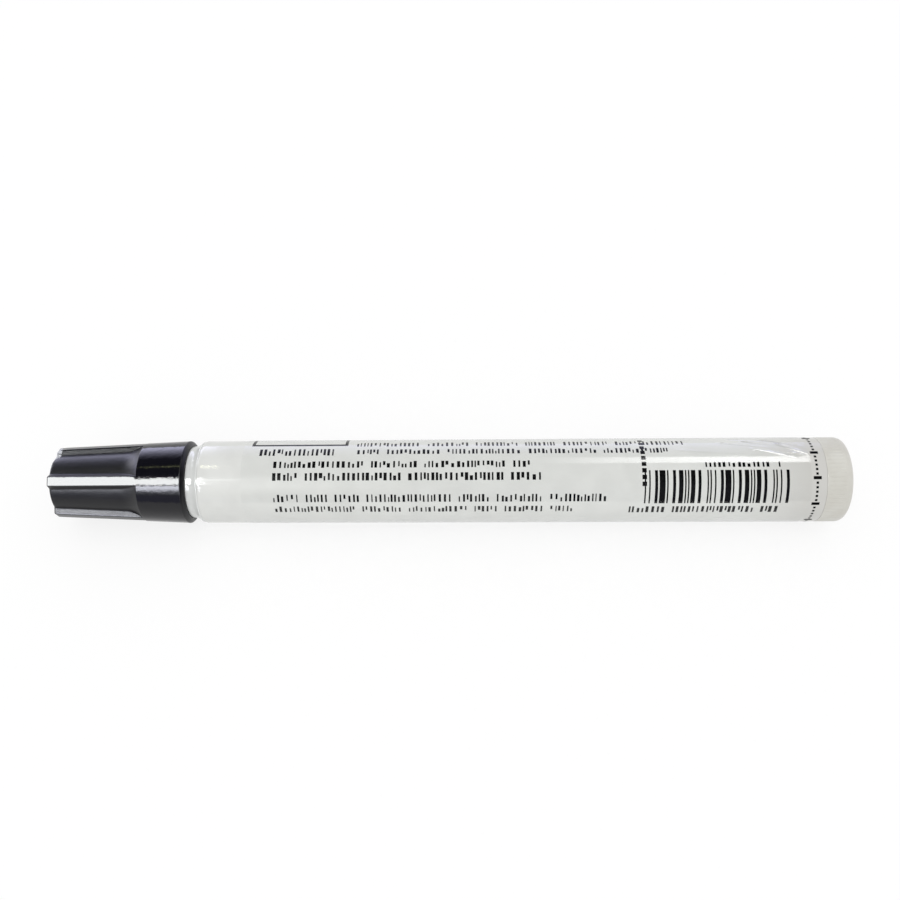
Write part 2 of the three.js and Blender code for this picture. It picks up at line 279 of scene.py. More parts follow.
class Maker:
    # Adds nodes to one material or to the world
    def __init__(self, owner):
        owner.use_nodes = True
        self.owner = owner
        self.tree = owner.node_tree
        self.tree.nodes.clear()

    def add(self, kind, settings=None, sockets=None, output=0):
        node = self.tree.nodes.new("ShaderNode" + kind)
        for name, value in (settings or {}).items():
            setattr(node, name, value)
        for name, value in (sockets or {}).items():
            if isinstance(value, Wire):
                self.tree.links.new(value.socket, node.inputs[name])
            else:
                node.inputs[name].default_value = value
        return Wire(self, node.outputs[output])

    def noise(self, size, detail=3.0, roughness=0.5, stretch=(1, 1, 1)):
        # Clouds of about that size in millimetres, longer where stretch is more than 1
        coordinates = self.add("TexCoord", output="Object")
        scale = tuple(1 / (mm * (size * part)) for part in stretch)
        place = self.add("Mapping", sockets={"Vector": coordinates, "Scale": scale})
        sockets = {"Vector": place, "Scale": 1.0, "Detail": detail, "Roughness": roughness}
        return self.add("TexNoise", sockets=sockets)

    def step(self, value, low, high):
        # 0 below low, 1 above high and smooth between them
        sockets = {"Value": value, "From Min": low, "From Max": high}
        return self.add("MapRange", {"interpolation_type": "SMOOTHSTEP"}, sockets)

    def mixed(self, factor, first, second):
        sockets = {0: factor, 6: first, 7: second}
        return self.add("Mix", {"data_type": "RGBA"}, sockets, output=2)

    def bump(self, height, distance, under=None):
        # The height is in millimetres once it is multiplied by the distance, and adds to the bump
        # that lies under it
        sockets = {"Height": height, "Distance": distance * mm, "Strength": 1.0}
        if under:
            sockets["Normal"] = under
        return self.add("Bump", sockets=sockets)

    def dot(self, first, second):
        # How far one vector reaches along another
        sockets = {0: first, 1: second}
        return self.add("VectorMath", {"operation": "DOT_PRODUCT"}, sockets, "Value")

    def ray(self, kind):
        # 1 for rays of that kind, 0 for others
        return self.add("LightPath", output="Is " + kind + " Ray")

    def ramp(self, value, stops):
        # Straight lines between (position, colour) stops
        output = self.add("ValToRGB", sockets={"Fac": value})
        band = output.socket.node.color_ramp
        for k, (position, shade) in enumerate(stops):
            stop = band.elements[k] if k < 2 else band.elements.new(position)
            stop.position, stop.color = position, shade
        return output

    def attribute(self, name):
        return self.add("Attribute", {"attribute_name": name}, output="Fac")

    def solid(self, base, roughness, normal=None, specular=0.5):
        # A finish that no light passes; 0.5 mirrors as glass does, and less is duller
        sockets = {"Base Color": base, "Roughness": roughness, "Specular IOR Level": specular}
        if normal:
            sockets["Normal"] = normal
        return self.surface(self.add("BsdfPrincipled", sockets=sockets))

    def surface(self, shader):
        kind = "OutputWorld" if isinstance(self.owner, bpy.types.World) else "OutputMaterial"
        node = self.tree.nodes.new("ShaderNode" + kind)
        self.tree.links.new(shader.socket, node.inputs["Surface"])
        return self.owner


def colour(red, green, blue):
    # From the usual 0 to 255 levels of a screen colour to the linear one that nodes take
    level = np.array([red, green, blue]) / 255
    linear = np.where(level <= 0.04045, level / 12.92, ((level + 0.055) / 1.055) ** 2.4)
    return (*linear.tolist(), 1.0)


def newMaterial(name):
    return Maker(bpy.data.materials.new(name))


# Studio: a pale floor, an even sky and the lamps that the gloss mirrors

studio = {
    "skyLevel": 0.85,
    "skyLean": 0.3,  # how much more of it comes from the photograph's direction
    # what the gloss mirrors of the room: level at each turn past the photograph's direction
    "mirrored": ((-180, 1.0), (-95, 0.75), (-60, 0.62), (-36, 0.72), (-12, 0.5), (0, 0.1), (30, 0.08),
                 (72, 0.15), (82, 1.2), (94, 3.0), (110, 5.7), (135, 6.1), (160, 2.2), (180, 1.0)),
    "mirroredTint": (226, 226, 255),
    "mirroredRight": 0.3,  # share of it left towards the plug's end
    "rightFrom": (-0.285, -0.25),  # where it falls to that, as the direction's part along x
    "floorLevel": 0.7,
    "floorSize": 3000.0,
    "leastWhite": 0.72,  # share of plain white near the marker, which thins its shadow
    "fadeStart": 110.0,  # where the floor starts to turn plain white, from the marker's middle
    "fadeEnd": 330.0,
    "lampDistance": 500.0,
}


def makeSky(facts):
    # Even light for matt surfaces. For gloss the level follows the direction's turn round the
    # marker's axis: atan2 of its parts across and along the photograph's direction.
    world = bpy.data.worlds.new("studio")
    bpy.context.scene.world = world
    maker = Maker(world)
    direction = maker.add("TexCoord", output="Generated")
    turns = np.radians([facing, facing - 90])
    facingPart, backPart = [maker.dot(direction, (0, -np.sin(turn), np.cos(turn))) for turn in turns]
    turn = maker.add("Math", {"operation": "ARCTAN2"}, {0: backPart, 1: facingPart})
    turn = turn / (2 * np.pi) + 0.5
    most = max(level for _, level in facts["mirrored"])
    stops = [((past + 180) / 360, (level / most,) * 3 + (1,)) for past, level in facts["mirrored"]]
    onRight = maker.step(maker.dot(direction, (1, 0, 0)), *facts["rightFrom"])
    level = maker.ramp(turn, stops) * most * (1 - (1 - facts["mirroredRight"]) * onRight)
    glossy = maker.ray("Glossy")
    seen = maker.ray("Camera") + maker.ray("Transmission")
    tint = maker.mixed(glossy, (1, 1, 1, 1), colour(*facts["mirroredTint"]))
    even = facts["skyLevel"] + facts["skyLean"] * facingPart
    strength = even * (1 - glossy - seen) + glossy * level + seen
    maker.surface(maker.add("Background", sockets={"Color": tint, "Strength": strength}))
    world.cycles.sampling_method = "NONE"  # the sky is even, so the surfaces find it by themselves


def makeFloor(facts):
    # One square. Light falls on it as on matt grey, and rays that see it find plain white for the
    # rest, all the more the further they land from the marker.
    maker = newMaterial("floor")
    coordinates = maker.add("TexCoord", output="Object")
    far = maker.add("VectorMath", {"operation": "LENGTH"}, {0: coordinates}, "Value")
    fade = maker.step(far, facts["fadeStart"] * mm, facts["fadeEnd"] * mm)
    seen = maker.ray("Camera") + maker.ray("Glossy") + maker.ray("Transmission")
    level = (facts["floorLevel"],) * 3 + (1.0,)
    matt = maker.add("BsdfDiffuse", sockets={"Color": level})
    lift = maker.add("Emission", sockets={"Strength": seen * (1 - facts["floorLevel"])})
    near = maker.add("AddShader", sockets={0: matt, 1: lift})
    white = maker.add("Emission", sockets={"Strength": 1.0})
    share = facts["leastWhite"] + fade * (1 - facts["leastWhite"])
    maker.surface(maker.add("MixShader", sockets={0: share * seen, 1: near, 2: white}))
    half = facts["floorSize"] / 2
    corners = np.array([[-half, -half, 0], [half, -half, 0], [half, half, 0], [-half, half, 0]])
    floor = makePiece("floor", corners, [np.array([[0, 1, 2, 3]])], maker.owner)


# Each lamp is a strip of a large arc round the marker, from x to x and between two turns past the
# photograph's direction. Its glow has a level at each of its turns, and fades over the last
# stretch of x at either end. It is white where it has no tint. One that is clear lets the lamp
# behind it shine through.
lamps = {
    "key_lamp": {
        "x": (-1400.0, -184.0),
        "turns": (-8.5, 11.0),
        "levels": (30.0, 30.0),
        "fades": (0.0, 7.0),
        "tint": (0.98, 1.0, 1.0),
    },
    "key_end_lamp": {
        "x": (-186.0, -160.0),
        "turns": (0.5, 3.0, 9.0),
        "levels": (0.0, 4.0, 4.0),
        "fades": (0.0, 24.0),
        "clear": True,
    },
    "front_lamp": {
        "x": (-199.0, -40.0),
        "turns": (-42.0, -24.0, -12.0, 4.0, 22.0),
        "levels": (0.0, 1.0, 1.6, 1.2, 0.0),
        "fades": (2.0, 110.0),
        "behind": 20.0,
    },
    "low_lamp": {
        "x": (-420.0, -197.0),
        "turns": (-38.0, -29.0, -22.0, -11.5),
        "levels": (0.6, 2.5, 17.0, 27.0),
        "fades": (0.0, 12.0),
        "tint": (0.88, 0.9, 1.0),
    },
    "film_lamp": {
        "x": (49.0, 247.0),
        "turns": (46.0, 49.0, 63.0, 66.0),
        "levels": (0.8, 6.0, 6.0, 0.8),
        "fades": (130.0, 0.0),
    },
    "ceiling_lamp": {
        "x": (-300.0, -187.0),
        "turns": (43.0, 44.0, 46.0),
        "levels": (0.0, 15.0, 0.0),
        "fades": (140.0, 0.0),
        "tint": (0.95, 1.0, 0.5),
    },
    "spot_lamp": {
        "x": (-191.0, -184.0),
        "turns": (36.0, 38.0, 41.0, 43.0, 46.0, 48.5),
        "levels": (0.0, 15.0, 11.0, 17.0, 17.0, 0.0),
        "fades": (2.0, 3.0),
        "tint": (1.0, 1.0, 0.7),
    },
    "left_lamp": {
        "x": (-900.0, -420.0),
        "turns": (58.0, 74.0, 100.0),
        "levels": (0.0, 6.0, 6.0),
        "fades": (0.0, 160.0),
        "tint": (0.9, 0.9, 1.0),
    },
}


def makeLamp(name, facts, distance):
    # A grid of x by turn on the arc; glow is the level at the turn times the fades along x
    turns = np.linspace(facts["turns"][0], facts["turns"][-1], 25)[:, None]
    start, end = facts["x"]
    x = np.linspace(start, end, 33)[None, :]
    points = around(x, distance + facts.get("behind", 0.0), facing - turns)
    glow = np.interp(turns, facts["turns"], facts["levels"]) + 0 * x
    for away, fade in zip((x - start, end - x), facts["fades"]):
        if fade:
            glow = glow * np.clip(away / fade, 0, 1)
    maker = newMaterial(name)
    tint = (*facts.get("tint", (1.0, 1.0, 1.0)), 1.0)
    light = maker.add("Emission", sockets={"Color": tint, "Strength": maker.attribute("glow")})
    if facts.get("clear"):
        light = maker.add("AddShader", sockets={0: light, 1: maker.add("BsdfTransparent")})
    maker.surface(light)
    faces = [cells(*points.shape[:2], wrapColumns=False)]
    lamp = makePiece(name, points, faces, maker.owner, {"glow": glow})
    lamp.visible_camera = False
    lamp.visible_diffuse = False
    lamp.visible_shadow = False


makeSky(studio)
makeFloor(studio)
for name, facts in lamps.items():
    makeLamp(name, facts, studio["lampDistance"])
print("studio made")


# Finishes

plasticGloss = 0.36  # specular level of the moulded plastics


def makeCapBlack():
    # Gloss with ripples, matt in the flutes, and pale where a corner is chipped
    maker = newMaterial("cap_black")
    ripple = maker.noise(1.1, 2.0) + 0.35 * maker.noise(0.34, 2.0)
    grain = maker.noise(0.12, 4.0, 0.6)
    smear = maker.noise(2.5, 3.0, 0.6, stretch=(3, 1, 1))
    recess = maker.attribute("recess")
    wear = maker.attribute("wear")
    chipped = maker.step(wear * maker.noise(0.3, 5.0, 0.75), 0.42, 0.5)
    rubbed = maker.step(smear, 0.55, 0.8) * 0.05
    base = maker.mixed(smear, colour(6, 6, 11), colour(13, 13, 20))
    base = maker.mixed(chipped, base, colour(190, 192, 198))
    gloss = 0.07 + rubbed + grain * 0.05
    roughness = gloss + recess * (0.30 + 0.1 * smear - gloss) + chipped * 0.4
    waves = maker.bump(ripple, 0.03)
    fine = maker.bump(grain * (0.3 + recess) + chipped, 0.004, waves)
    return maker.solid(base, roughness, fine, plasticGloss)


def makeWhitePlastic(name, pale, deep, roughness, shade=None):
    # Two near colours in clouds, marks drawn along the mould, and grain; shade is painted shade
    maker = newMaterial(name)
    cloud = maker.noise(4.0, 3.0, 0.5)
    grain = maker.noise(0.09, 3.0, 0.6)
    drawn = maker.noise(0.5, 3.0, 0.6, stretch=(14, 1, 1))
    base = maker.mixed(maker.step(cloud, 0.35, 0.7), pale, deep)
    if shade:
        # where the attribute rises the colour turns to shade: painted shade, darker where less light
        # falls
        base = maker.mixed(maker.attribute("painted_shade"), base, shade)
    waves = maker.bump(cloud + drawn * 0.25, 0.02)
    fine = maker.bump(grain, 0.02 * roughness, waves)  # the glossier, the finer
    rough = roughness * (1 + 0.5 * (drawn - 0.5) + 0.3 * (grain - 0.5))
    return maker.solid(base, rough, fine, plasticGloss)


def makeFilmClear():
    maker = newMaterial("film_clear")
    cloud = maker.noise(3.0, 3.0, 0.55, stretch=(3, 1, 1))
    fine = maker.noise(0.35, 3.0, 0.6)
    soft = maker.bump(cloud + fine * 0.05, 0.012)
    waves = maker.bump(maker.attribute("fold"), 1.0, soft)
    gloss = maker.add("BsdfGlossy", sockets={"Roughness": 0.05 + 0.05 * cloud, "Normal": waves})
    clear = maker.add("BsdfTransparent", sockets={"Color": (0.996, 0.997, 0.996, 1.0)})
    outside = 1 - maker.add("NewGeometry", output="Backfacing")
    # the wrap mirrors more where a fold lifts it off the barrel
    mirrored = maker.add("Fresnel", sockets={"IOR": 1.49, "Normal": waves}) * outside
    mirrored = mirrored * (1 + 40 * maker.attribute("fold"))
    # and the light on its way to the barrel passes it whole
    mirrored = mirrored * (1 - maker.ray("Diffuse"))
    return maker.surface(maker.add("MixShader", sockets={0: mirrored, 1: clear, 2: gloss}))


def makePrintInk():
    maker = newMaterial("print_ink")
    patchy = maker.noise(0.25, 4.0, 0.65)
    base = maker.mixed(maker.step(patchy, 0.45, 0.75), colour(4, 4, 5), colour(16, 16, 18))
    return maker.solid(base, 0.5 + 0.2 * patchy, specular=0.05)


def makeInkedFibre(name, dark, light, stretch):
    maker = newMaterial(name)
    strands = maker.noise(0.16, 4.0, 0.7, stretch=stretch)
    pores = maker.noise(0.07, 3.0, 0.6)
    base = maker.mixed(maker.step(strands, 0.35, 0.75), dark, light)
    return maker.solid(base, 0.75 + 0.2 * pores, maker.bump(strands + pores * 0.5, 0.05))


capBlack = makeCapBlack()
# the barrel's rear end is painted darker with shade, where the light falls off
barrelWhite = makeWhitePlastic("barrel_white", colour(224, 225, 222), colour(219, 220, 217), 0.05,
                               shade=colour(206, 205, 201))
holderWhite = makeWhitePlastic("holder_white", colour(224, 226, 224), colour(218, 220, 218), 0.09)
plugCream = makeWhitePlastic("plug_cream", colour(213, 212, 205), colour(206, 204, 196), 0.35)
linerWhite = makeWhitePlastic("liner_white", colour(232, 232, 228), colour(222, 222, 218), 0.45)
sleeveFilm = makeWhitePlastic("sleeve_film", colour(205, 205, 203), colour(190, 190, 190), 0.28)
filmClear = makeFilmClear()
printInk = makePrintInk()
inkedFelt = makeInkedFibre("inked_felt", colour(12, 12, 16), colour(36, 36, 44), (5, 1, 1))
inkedFibre = makeInkedFibre("inked_fibre", colour(16, 15, 20), colour(52, 50, 60), (8, 1, 1))
print("finishes made")


# Cap

capFacts = {
    "tipRadius": 6.42,
    "rimRadius": 7.53,
    "tipRound": 0.4,
    "rimStart": 0.8,  # where the profile of the rim and the inside begins
    "chamferLength": 0.5,
    "chamferDepth": 0.6,
    "boreRadius": 6.5,
    "wideBoreEnd": -10.2,
    "narrowBoreRadius": 4.55,
    "boreStep": 1.2,
    "endWall": 1.3,
    "ridges": 5,
    "ridgePast": 2.0,  # middle of the ridge that the photograph looks at
    "ridgeWidth": 1.64,  # of its top
    "ridgeDraft": 25.0,  # slope of its walls, in degrees
    "ridgeRound": 0.12,
    "footRound": 0.35,
    "fluteDepth": 0.95,
    "fluteEnd": -10.85,
    "runOut": 3.2,
    "runOutRound": 0.1,  # half the length of the rounding where a flute meets the round part
    "leastDepth": 0.3,  # keeps the columns of the grid apart where a flute runs out
    "gateRadius": 1.3,  # of the hollow that the mould's gate left in the closed end
    "gateDepth": 0.12,
    "endRecess": 0.5,  # how matt the closed end is: 0 as the round part, 1 as the flutes
    "chipAt": (0.0, 6.1, 66.0),  # a knocked corner: from the closed end, from the axis, past
    "chipShape": (0.9, 0.62, 0.62),
    "chipReach": 1.6,
    "chipDepth": 0.42,
}


def capBodyRadius(x, facts):
    # A straight taper from the closed end to the chamfer at the rim
    length = capEnd - facts["chamferLength"] - capStart
    share = (x - capStart) / length
    return facts["tipRadius"] + (facts["rimRadius"] - facts["tipRadius"]) * share


def ridgeSection(body, panel, facts):
    # Half a ridge's section, across and out from its middle plane: a flat top, a round of the edge
    # about a centre inside, a wall sloped by the draft, a hollow round about a centre outside, and
    # the panel. wall is how far the wall's line lies from the axis. The knots are the angles where
    # one of them meets the next.
    half = facts["ridgeWidth"] / 2
    sine, cosine = np.sin(np.radians(facts["ridgeDraft"])), np.cos(np.radians(facts["ridgeDraft"]))
    depth = body - panel
    top = np.sqrt(body**2 - half**2)
    edge = np.minimum(facts["ridgeRound"], depth * 0.4)
    foot = np.minimum(facts["footRound"], depth * 0.4)
    wall = half * cosine + top * sine
    edgeAt = half - edge * (1 - sine) / cosine, top - edge
    reach = np.sqrt((panel + foot) ** 2 - (wall + foot) ** 2)
    footAt = (wall + foot) * cosine - reach * sine, (wall + foot) * sine + reach * cosine
    knots = (
        np.arctan2(edgeAt[0], top),
        np.arctan2(edgeAt[0] + edge * cosine, edgeAt[1] + edge * sine),
        np.arctan2(footAt[0] - foot * cosine, footAt[1] - foot * sine),
        np.arctan2(*footAt),
    )
    return top, wall, edge, edgeAt, foot, footAt, knots


def reachOf(angle, centre, size, side):
    # Where a line from the axis crosses a circle: the far crossing for side 1, the near one for -1
    towards = np.sin(angle) * centre[0] + np.cos(angle) * centre[1]
    apart = centre[0] ** 2 + centre[1] ** 2
    return towards + side * np.sqrt(np.maximum(size**2 - apart + towards**2, 0))


def ridgeRadius(angle, body, panel, roundness, facts):
    # Radius of that section at an angle. Its top is flat where roundness is 0 and follows the body
    # where it is 1.
    top, wall, edge, edgeAt, foot, footAt, knots = ridgeSection(body, panel, facts)
    crown = top / np.cos(angle) * (1 - roundness) + body * roundness
    corner = reachOf(angle, edgeAt, edge, 1)
    slope = wall / np.maximum(np.sin(angle + np.radians(facts["ridgeDraft"])), 1e-6)
    hollow = reachOf(angle, footAt, foot, -1)
    zones = [angle < knots[0], angle < knots[1], angle < knots[2], angle < knots[3]]
    return np.select(zones, [crown, corner, slope, hollow], panel)


def fluteDepthAt(x, facts):
    # Full depth, then less as the floor rises on an arc; a parabola rounds the edge where it meets
    # the round part
    length, depth, soft = facts["runOut"], facts["fluteDepth"], facts["runOutRound"]
    arc = (length**2 + depth**2) / (2 * depth)
    run = np.clip(x - fromFront(facts["fluteEnd"]) + length, 0, length + soft)
    left = depth - arc + np.sqrt(arc**2 - np.minimum(run, length) ** 2)
    slope = length / np.sqrt(arc**2 - length**2)
    ahead = length + soft - run
    return np.where(ahead < 2 * soft, slope * ahead**2 / (4 * soft), left)


def capOuterGrid(facts):
    # Rows along the cap and columns round it, which crowd at each ridge's edges
    period = 2 * np.pi / facts["ridges"]
    tipRound = facts["tipRound"]
    fluteEnd, soft = fromFront(facts["fluteEnd"]), facts["runOutRound"]
    runOutStart = fluteEnd - facts["runOut"]
    x = np.concatenate([
        capStart + tipRound * (1 - np.cos(np.linspace(0, np.pi / 2, 7))),
        np.linspace(capStart + tipRound, runOutStart, 24)[1:],
        np.linspace(runOutStart, fluteEnd - soft, 30)[1:],
        np.linspace(fluteEnd - soft, fluteEnd + soft, 6)[1:],
        np.linspace(fluteEnd + soft, capEnd - facts["rimStart"], 10)[1:],
    ])[:, None]
    body = capBodyRadius(x, facts)
    depth = fluteDepthAt(x, facts)
    knots = ridgeSection(body, body - np.maximum(depth, facts["leastDepth"]), facts)[-1]
    edges = [np.zeros_like(body), *knots, np.full_like(body, period / 2)]
    parts = []
    for k, count in enumerate((5, 4, 5, 6, 12)):
        share = np.arange(count) / count
        parts.append(edges[k] + (edges[k + 1] - edges[k]) * share)
    halfAngles = np.concatenate([*parts, edges[-1]], axis=1)
    roundness = np.clip(1 - depth / facts["fluteDepth"], 0, 1) ** 2
    radius = ridgeRadius(halfAngles, body, body - np.maximum(depth, 1e-4), roundness, facts)
    near = np.clip(x - capStart, 0, tipRound)
    radius = radius - (tipRound - np.sqrt(tipRound**2 - (tipRound - near) ** 2))
    recess = (depth > 0.02) * (halfAngles > knots[1]) * 1.0
    mirror = slice(-2, 0, -1)
    angles = np.concatenate([halfAngles, period - halfAngles[:, mirror]], 1)
    radius = np.concatenate([radius, radius[:, mirror]], 1)
    recess = np.concatenate([recess, recess[:, mirror]], 1)
    turns = np.arange(facts["ridges"]) * period
    angles = np.degrees(np.concatenate([angles + turn for turn in turns], 1))
    tiles = (1, facts["ridges"])
    return x, np.tile(radius, tiles), facing - facts["ridgePast"] + angles, np.tile(recess, tiles)


def cutChip(points, facts):
    # Presses the knocked corner in, by up to its depth where a point is at its middle, less a wave of
    # both ways across it; gives back how worn each point is
    at, out, past = facts["chipAt"]
    chip = around(np.array(capStart + at), np.array(out), facing - past)
    away = points - chip
    reach = np.linalg.norm(away * facts["chipShape"], axis=1) / facts["chipReach"]
    worn = np.clip(1 - reach, 0, 1)
    wave = 0.7 + 0.3 * np.sin(away[:, 0] * 5.3) * np.sin(away[:, 1] * 6.1 + away[:, 2] * 4.0)
    inward = np.array([0.75, 0.0, 0.0]) - (points - [0, 0, axisHeight]) * [0, 1, 1] / out * 0.65
    points += inward * (facts["chipDepth"] * worn * wave)[:, None]
    return np.clip(worn * 3, 0, 1)


def makeCap(facts):
    # The closed end from its middle outwards, the outside, the rim and the inside back to its floor
    x, radius, angles, recess = capOuterGrid(facts)
    columns = angles.shape[1]
    gateRadius = facts["gateRadius"]
    gateAt = capStart + facts["gateDepth"]
    endX = np.array([gateAt, gateAt, capStart, capStart, capStart])[:, None]
    gate = np.array([0, gateRadius, gateRadius + 0.15, gateRadius * 2])[:, None]
    endRadius = np.concatenate([np.repeat(gate, columns, 1), radius[:1] * 0.8])
    rim = capBodyRadius(capEnd - facts["chamferLength"], facts)
    bore, narrow = facts["boreRadius"], facts["narrowBoreRadius"]
    wideEnd = fromFront(facts["wideBoreEnd"])
    floorAt = capStart + facts["endWall"]
    insideX, insideRadius = outline([
        (capEnd - facts["rimStart"], capBodyRadius(capEnd - facts["rimStart"], facts)),
        (capEnd - facts["chamferLength"], rim, 0.2),
        (capEnd, rim - facts["chamferDepth"], 0.12),
        (capEnd, bore, 0.1),
        (wideEnd, bore, 0.2),
        (wideEnd - facts["boreStep"], narrow, 0.2),
        (floorAt, narrow, 0.2),
        (floorAt, 0),
    ])
    insideX, insideRadius = insideX[1:], insideRadius[1:]
    allX = np.concatenate([endX, x, insideX])
    allRadius = np.concatenate([endRadius, radius, np.repeat(insideRadius, columns, 1)])
    allAngles = np.concatenate([
        np.repeat(angles[:1], len(endX), 0),
        angles,
        np.repeat(angles[-1:], len(insideX), 0),
    ])
    endRecess = facts["endRecess"]
    allRecess = np.concatenate([
        np.full((len(endX) - 1, columns), endRecess),
        recess,
        np.ones((len(insideX) - 1, columns)),
    ])
    points, faces = gridBody(allX, allRadius * facetFit, allAngles)
    attributes = {
        "recess": np.concatenate([allRecess.ravel(), [endRecess, 1.0]]),
        "wear": cutChip(points, facts),
    }
    piece = makePiece("cap_shell_moulded", points, faces, capBlack, attributes)
    dress(piece, "cap_shell", "cap")


makeCap(capFacts)


# Turned pieces, which need only a profile


def makeTurned(name, node, body, material, corners, columns=160):
    # The profile turned round the axis
    x, radius = outline(corners)
    points, faces = gridBody(x, radius, evenAngles(columns))
    piece = makePiece(name, points, faces, material)
    dress(piece, node, body)


sealCupFacts = {
    "radius": 4.5,
    "innerRadius": 3.8,
    "endWall": 0.8,
    "lip": 0.25,
}


def makeSealCup(facts):
    # A cup with its mouth to the nose, chamfered inside
    outer, inner, lip = facts["radius"] * facetFit, facts["innerRadius"], facts["lip"]
    floorAt = cupStart + facts["endWall"]
    makeTurned("seal_cup_moulded", "cap_seal_cup", "cap", linerWhite, [
        (cupStart, 0),
        (cupStart, outer, 0.25),
        (cupEnd, outer, 0.15),
        (cupEnd, inner + lip, 0.05),
        (cupEnd - lip, inner, 0.1),
        (floorAt, inner, 0.3),
        (floorAt, 0),
    ])


makeSealCup(sealCupFacts)

holderFacts = {
    "tipRadius": 2.75,
    "noseRadius": 3.75,
    "noseConeEnd": -13.3,
    "noseEnd": -9.3,
    "shoulderEnd": -8.1,
    "seatRadius": 6.45,
    "seatChamfer": 0.6,
    "beadMiddle": -5.225,
    "beadHeight": 0.03,
    "beadLength": 0.8,
    "collarStart": -2.3,
    "collarFrontRadius": 6.55,
    "waistRadius": 6.6,
    "flareStart": -1.7,
    "flareEnd": -0.2,
    "flarePower": 1.7,
    "collarRearRadius": 7.41,
    "collarRound": 0.12,  # of its rear edge
    "collarEnd": -0.01,
    "grooveRadius": 7.33,  # of the groove that parts it from the barrel
    "skirtRadius": 6.25,
    "boreRadius": 5.15,
    "boreConeStart": -4.5,
    "nibBoreRadius": 2.05,
    "nibBoreEnd": -7.6,
    "grooves": 6,  # let air past the cap's seat
    "grooveWidth": 5.0,  # in degrees
    "grooveDepth": 0.25,
}


def makeHolder(facts):
    # The profile turned round the axis. The collar's flare rises from its waist with a power of the
    # share of its length; air grooves lower the shoulder and the seat's front stretch by their depth
    # times a smooth bell of the angle from the nearest groove.
    seat = facts["seatRadius"]
    beadAt, beadLength = fromFront(facts["beadMiddle"]), facts["beadLength"]
    collarStart, collarEnd = fromFront(facts["collarStart"]), fromFront(facts["collarEnd"])
    noseEnd, shoulderEnd = fromFront(facts["noseEnd"]), fromFront(facts["shoulderEnd"])
    bore = facts["boreRadius"]
    waist, rise = facts["waistRadius"], facts["collarRearRadius"] - facts["waistRadius"]
    flareStart, flareEnd = fromFront(facts["flareStart"]), fromFront(facts["flareEnd"])
    share = np.linspace(0, 1, 12)[:-1]
    flareX = flareStart + (flareEnd - flareStart) * share
    flare = list(zip(flareX, waist + rise * share ** facts["flarePower"]))
    x, radius = outline([
        (holderStart, facts["nibBoreRadius"]),
        (holderStart, facts["tipRadius"], 0.25),
        (fromFront(facts["noseConeEnd"]), facts["noseRadius"], 0.6),
        (noseEnd, facts["noseRadius"], 0.4),
        (shoulderEnd, seat - facts["seatChamfer"], 0.3),
        (shoulderEnd + facts["seatChamfer"], seat, 0.2),
        *beadCorners(beadAt, beadLength, seat, facts["beadHeight"]),
        (collarStart - 0.05, seat, 0.05),
        (collarStart, facts["collarFrontRadius"], 0.08),
        *flare,
        (flareEnd, waist + rise, facts["collarRound"]),
        (collarEnd, facts["grooveRadius"]),
        (collarEnd, facts["skirtRadius"]),
        (holderEnd, facts["skirtRadius"], 0.15),
        (holderEnd, bore, 0.1),
        (fromFront(facts["boreConeStart"]), bore),
        (fromFront(facts["nibBoreEnd"]), facts["nibBoreRadius"]),
        (holderStart, facts["nibBoreRadius"]),
    ])
    x, radius = x[:-1], radius[:-1] * facetFit
    angles = evenAngles(360)
    off = offNearest(angles, facts["grooves"])
    bell = np.clip(1 - (off / facts["grooveWidth"]) ** 2, 0, 1) ** 2
    onSeat = (x > noseEnd + 0.3) & (x < beadAt - beadLength) & (radius > facts["noseRadius"] + 0.4)
    radius = radius - facts["grooveDepth"] * bell * onSeat
    points, faces = gridBody(x, radius, angles)
    piece = makePiece("nib_holder_moulded", points, faces, holderWhite)
    dress(piece, "nib_holder", "writing_body")


makeHolder(holderFacts)

nibFacts = {
    "radius": 2.0,
    "domeLength": 2.2,
    "worn": 0.03,  # how far the fibres at the tip stand out or lie in
}


def makeNib(facts):
    # A rod with a dome of a quarter ellipse; waves of the angle and the distance roughen its skin
    turn = np.linspace(0, np.pi / 2, 14)
    domeX = nibStart + facts["domeLength"] * (1 - np.cos(turn))
    domeRadius = facts["radius"] * facetFit * np.sin(turn)
    rodX = np.linspace(domeX[-1], nibEnd, 40)[1:]
    x = np.concatenate([domeX, rodX, [nibEnd]])[:, None]
    radius = np.concatenate([domeRadius, np.full(len(rodX), domeRadius[-1]), [0.0]])[:, None]
    angles = evenAngles(120)
    strands = np.sin(np.radians(angles * 23) + 1.3 * np.sin(x * 0.9))
    strands = strands * np.sin(np.radians(angles * 7) + x)
    radius = radius - facts["worn"] * (0.5 + 0.5 * strands) * (radius > 0.4)
    points, faces = gridBody(x, radius, angles)
    piece = makePiece("nib_fibre", points, faces, inkedFelt)
    dress(piece, "nib", "writing_body")


makeNib(nibFacts)

coreFacts = {
    "radius": 5.6,
    "pocketRadius": 2.05,
    "pocketEnd": 13.6,
    "wrapInnerRadius": 5.65,
    "wrapRadius": 5.77,
}


def makeCore(facts):
    # A rod with a pocket for the nib's tail, and the plain tube of its wrap
    outer, pocket = facts["radius"] * facetFit, facts["pocketRadius"]
    pocketEnd = fromFront(facts["pocketEnd"])
    makeTurned("ink_core_fibre", "ink_core", "writing_body", inkedFibre, [
        (pocketEnd, 0),
        (pocketEnd, pocket, 0.2),
        (coreStart, pocket, 0.2),
        (coreStart, outer, 0.3),
        (coreEnd, outer, 0.3),
        (coreEnd, 0),
    ], 120)
    inner, outer = facts["wrapInnerRadius"], facts["wrapRadius"] * facetFit
    makeTurned("core_wrap_film", "core_wrap", "writing_body", sleeveFilm, [
        (coreStart, inner),
        (coreStart, outer),
        (coreEnd, outer),
        (coreEnd, inner),
    ], 120)


makeCore(coreFacts)


# Barrel and its clear wrap

